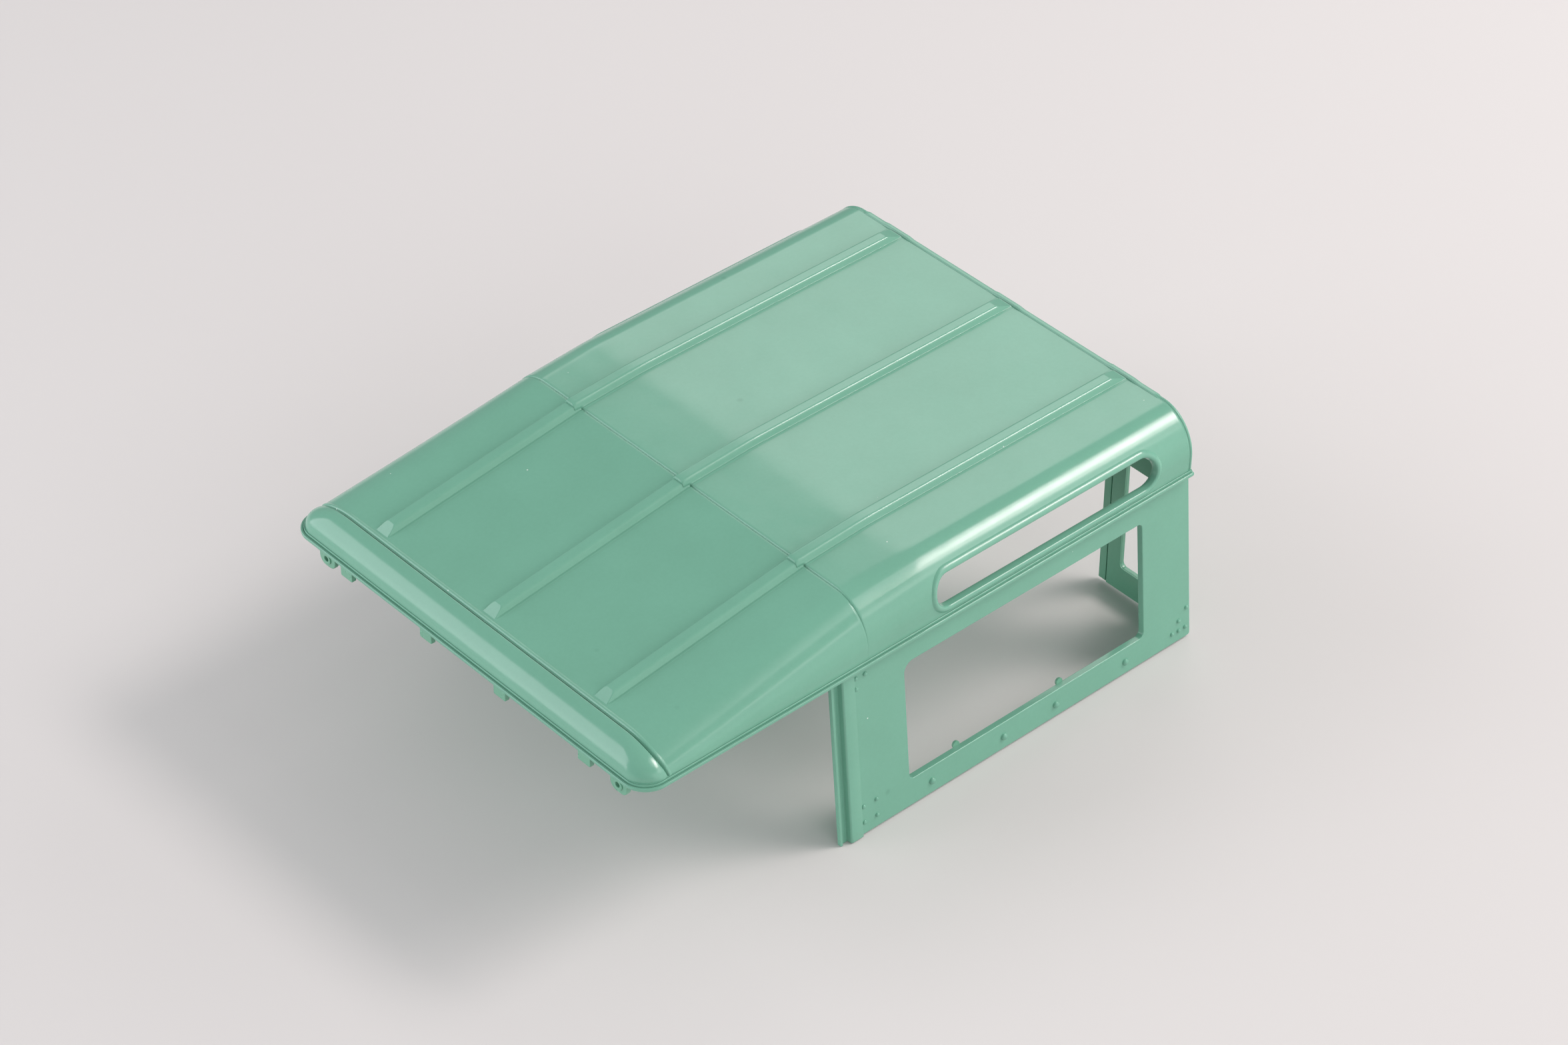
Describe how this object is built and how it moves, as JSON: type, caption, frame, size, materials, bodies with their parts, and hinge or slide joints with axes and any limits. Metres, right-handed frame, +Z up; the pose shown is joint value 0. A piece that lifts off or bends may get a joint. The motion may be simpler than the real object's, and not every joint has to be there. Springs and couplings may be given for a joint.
{
  "type": "model vehicle hardtop",
  "caption": "Moulded hardtop for a scale off-road vehicle: ribbed roof sloping to a rounded windscreen header, alpine slots, drip rail, window side panels and rear corners.",
  "frame": {"origin": "centre of the part's footprint, on the surface it stands on", "axes": "+X to the vehicle's front, +Y to its left, +Z up"},
  "size_m": [0.211, 0.162, 0.0812],
  "materials": {
    "moulded_green": "satin injection-moulded styrene, unpainted sea green",
    "inner_green": "the same plastic as moulded, semi-matt on the inside",
    "screw_steel": "zinc-plated self-tapping screw"
  },
  "bodies": {
    "root": {"rear_roof_panel": "moulded_green", "front_roof_panel": "moulded_green", "windscreen_header": "moulded_green", "front_drip_rail": "moulded_green", "left_drip_rail": "moulded_green", "right_drip_rail": "moulded_green", "rear_roof_edge": "moulded_green", "left_side_panel": "moulded_green", "right_side_panel": "moulded_green", "left_door_post": "moulded_green", "right_door_post": "moulded_green", "left_small_rivets": "moulded_green", "right_small_rivets": "moulded_green", "left_sill_rivets": "moulded_green", "right_sill_rivets": "moulded_green", "windscreen_clip_strip": "moulded_green", "rear_header_panel": "inner_green", "left_rear_corner_panel": "inner_green", "right_rear_corner_panel": "inner_green", "left_glazing_pegs": "inner_green", "right_glazing_pegs": "inner_green", "left_locating_peg": "inner_green", "right_locating_peg": "inner_green", "left_roof_screws": "screw_steel", "right_roof_screws": "screw_steel"}
  },
  "joints": []
}
